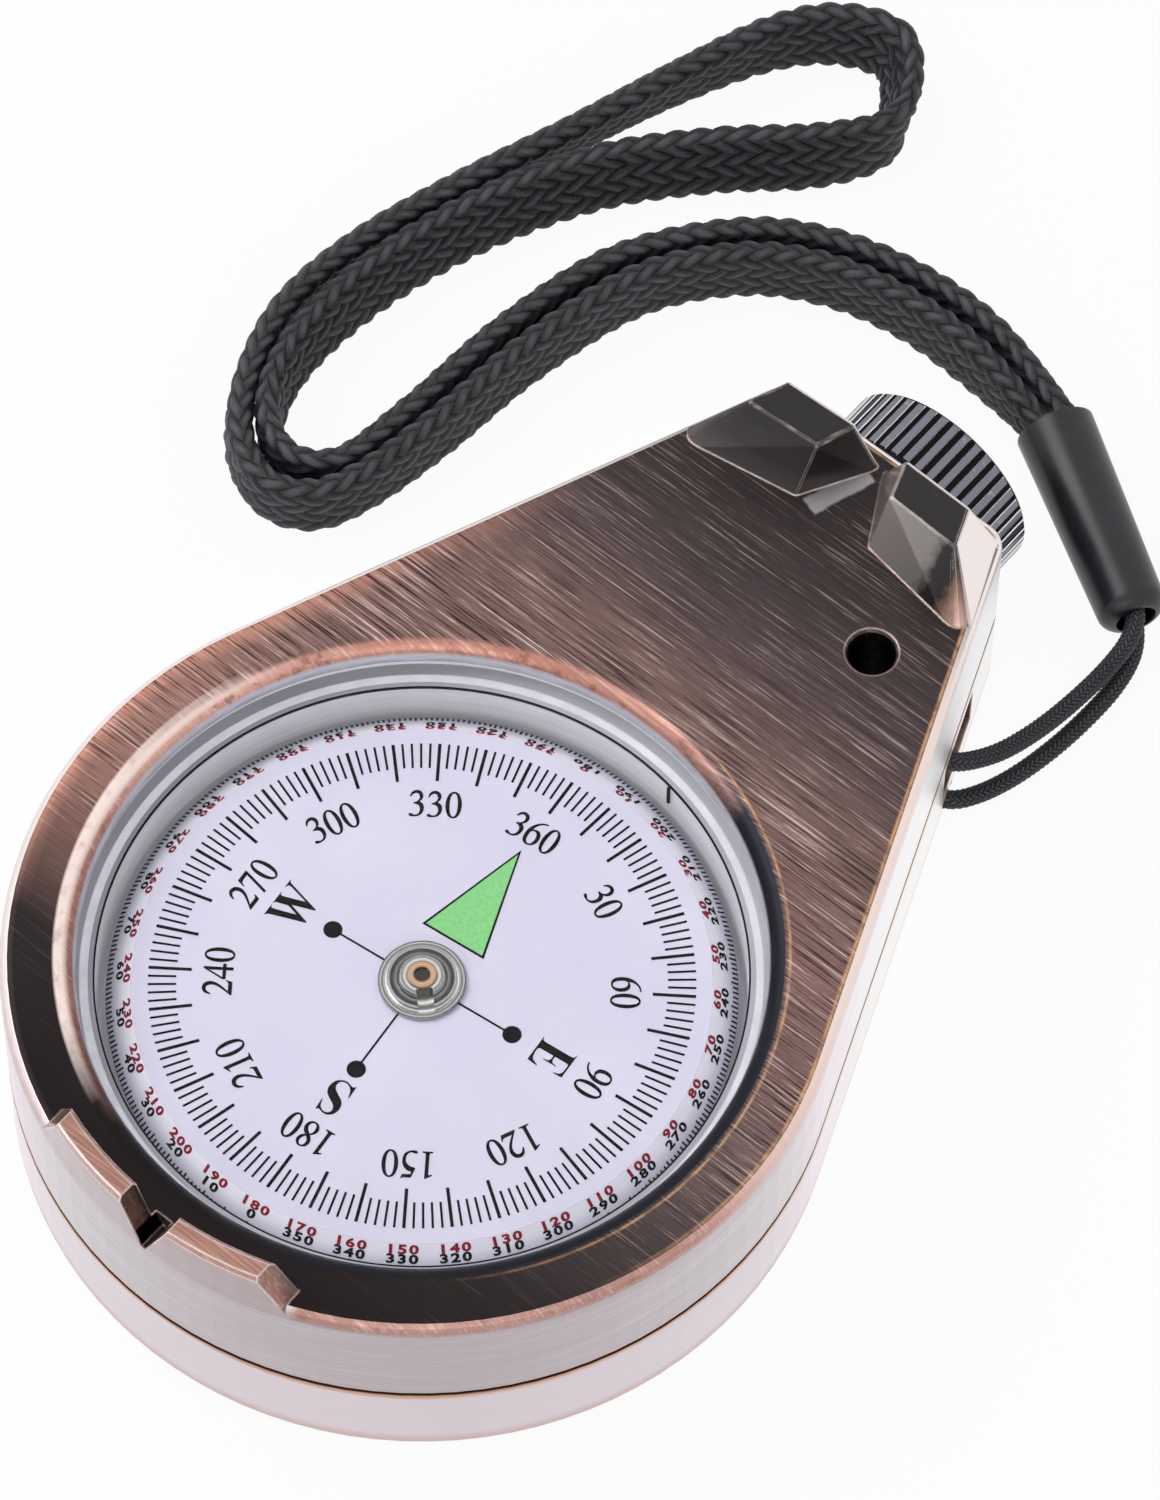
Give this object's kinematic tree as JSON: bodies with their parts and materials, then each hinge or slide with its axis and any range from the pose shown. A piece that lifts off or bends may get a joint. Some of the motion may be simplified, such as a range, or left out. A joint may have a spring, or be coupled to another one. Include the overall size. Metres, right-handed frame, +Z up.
{
  "type": "liquid-filled compass",
  "caption": "Pocket sighting compass: two-part metal case, sealed fluid capsule with a pivoting dial, focusing eyepiece and wrist lanyard.",
  "frame": {"origin": "on the base plane, under the dial's spin axis", "axes": "+X along the case towards the eyepiece, +Z up through the window, +Y completes the set; the lanyard eye is on the -Y side"},
  "size_m": [0.1157, 0.0766, 0.022],
  "materials": {
    "shell_black_worn": "black-anodised aluminium, brushed, worn to copper tones",
    "shell_satin_worn": "anodised aluminium, finish worn thin, satin",
    "screw_steel": "plain",
    "black_rubber": "matt",
    "clear_silicone": "pale, translucent",
    "clear_acrylic": "clear, polished",
    "frosted_acrylic": "pale grey-green, milky",
    "damping_fluid": "clear",
    "black_ink": "matt",
    "brass": "turned",
    "dial_white": "white enamel with black, red and green print",
    "hub_aluminium": "turned",
    "jewel_red": "polished",
    "magnet_steel": "plain",
    "black_anodised": "black-anodised, satin",
    "optical_glass": "polished",
    "black_cord": "tight round braid",
    "black_plastic": "satin",
    "black_webbing": "flat tubular braid"
  },
  "bodies": {
    "case": {"top_shell": "shell_black_worn", "bottom_shell": "shell_satin_worn", "case_screws": "screw_steel", "window_gasket": "black_rubber", "capsule_lid": "clear_acrylic", "capsule_seal": "clear_silicone", "capsule_cup": "frosted_acrylic", "capsule_cushion": "black_rubber", "fill_plug": "screw_steel", "damping_fluid": "damping_fluid", "lubber_line": "black_ink", "pivot_post": "brass", "pivot_pin": "screw_steel", "eyepiece_barrel": "black_anodised", "lanyard_cord": "black_cord", "cord_sleeve": "black_plastic", "wrist_strap": "black_webbing"},
    "dial": {"dial_card": "dial_white", "dial_hub": "hub_aluminium", "jewel_bush": "brass", "pivot_jewel": "jewel_red", "dial_magnets": "magnet_steel"},
    "focus_carriage": {"focus_oring": "black_rubber"},
    "focus_ring": {"focus_ring": "black_anodised", "eyepiece_lens": "optical_glass", "lens_retainer": "black_anodised"}
  },
  "joints": [
    {"name": "dial_spin", "type": "hinge", "parent": "case", "child": "dial", "pos_m": [0, 0, 0.0125], "axis": [0, 0, 1], "continuous": true},
    {"name": "focus_travel", "type": "slide", "parent": "case", "child": "focus_carriage", "axis": [1, 0, 0], "range_m": [-0.00037, 0.00112]},
    {"name": "focus_turn", "type": "hinge", "parent": "focus_carriage", "child": "focus_ring", "pos_m": [0.0544, 0, 0.0082], "axis": [1, 0, 0], "range_deg": [-90, 270]}
  ],
  "couplings": [
    {"joint": "focus_turn", "follows": "focus_travel", "rad_per_m": 4188.8}
  ]
}
